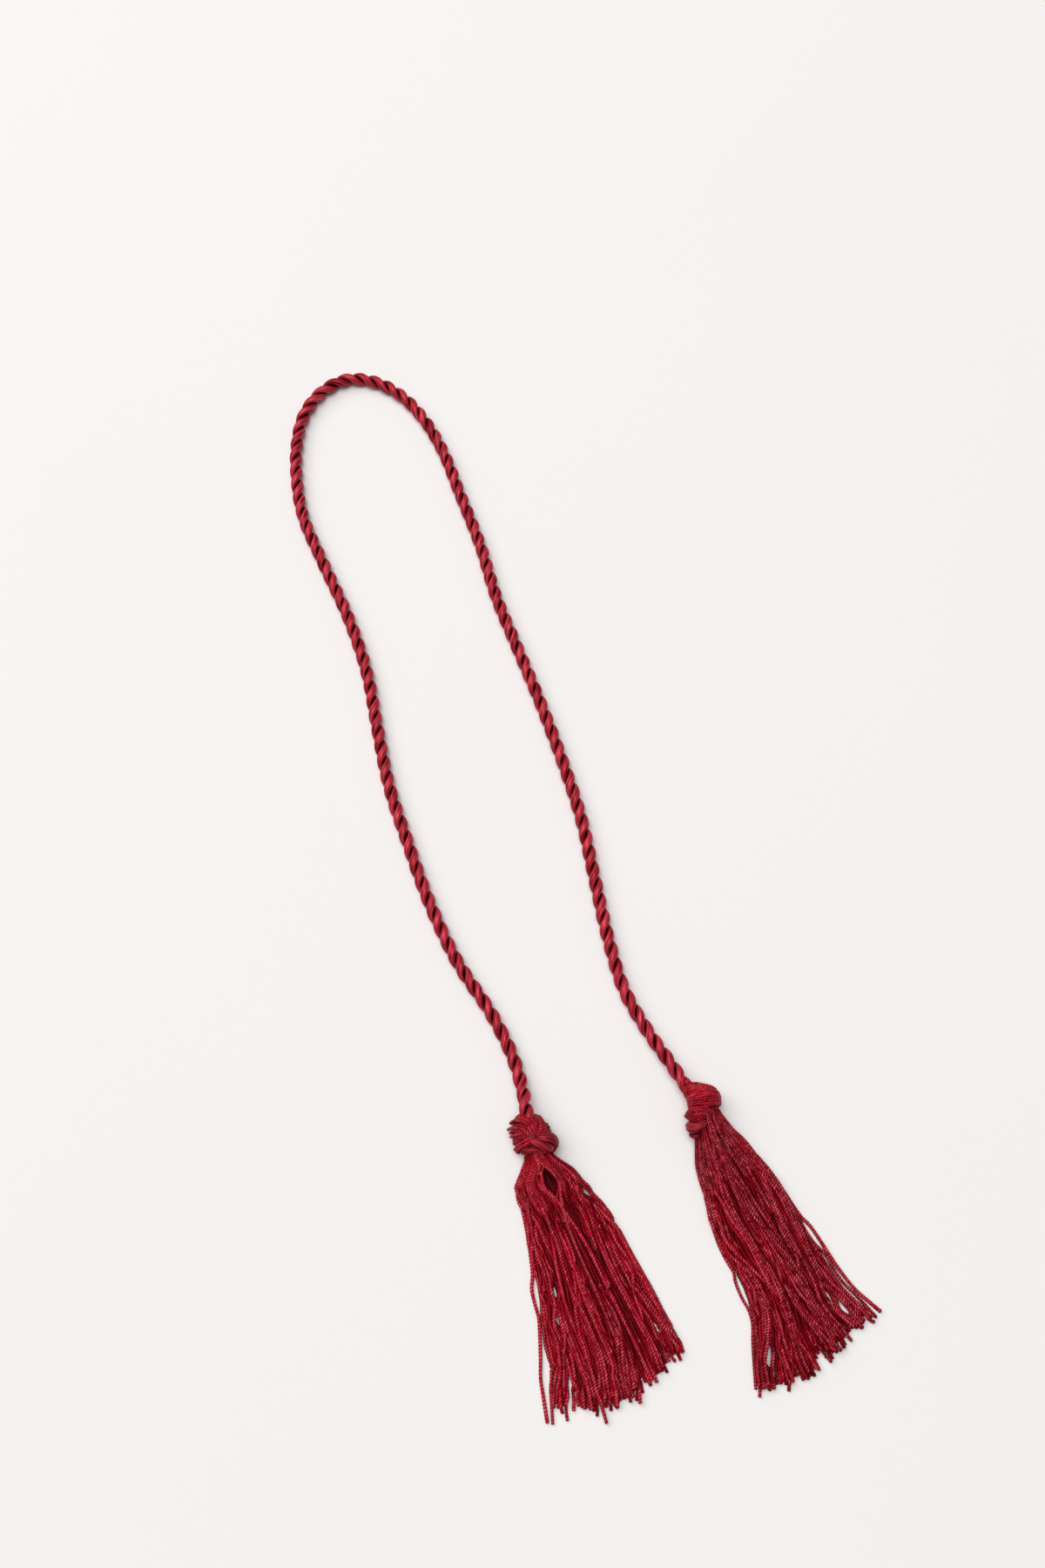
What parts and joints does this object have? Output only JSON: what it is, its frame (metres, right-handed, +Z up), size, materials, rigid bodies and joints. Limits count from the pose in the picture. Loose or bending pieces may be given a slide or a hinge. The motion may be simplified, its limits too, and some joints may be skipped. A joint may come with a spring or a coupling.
{
  "type": "tasselled cord ornament",
  "caption": "Wine-red two-ply twisted satin cord lying in a long loop, with a knotted yarn tassel tied at each end.",
  "frame": {"origin": "on the surface it lies on, in the middle of the box around the two tassels", "axes": "+Z up from the surface, +X from the left tassel to the right one, +Y away from the viewer, where the cord's loop runs"},
  "size_m": [0.1795, 0.3346, 0.0103],
  "materials": {
    "satin_cord": "glossy satin filament, twisted in two plies",
    "twisted_yarn": "fine two-ply twisted yarn with a soft sheen"
  },
  "bodies": {
    "root": {"cord": "satin_cord", "tassel_left": "twisted_yarn", "tassel_right": "twisted_yarn", "tie_left": "satin_cord", "tie_right": "satin_cord"}
  },
  "joints": []
}
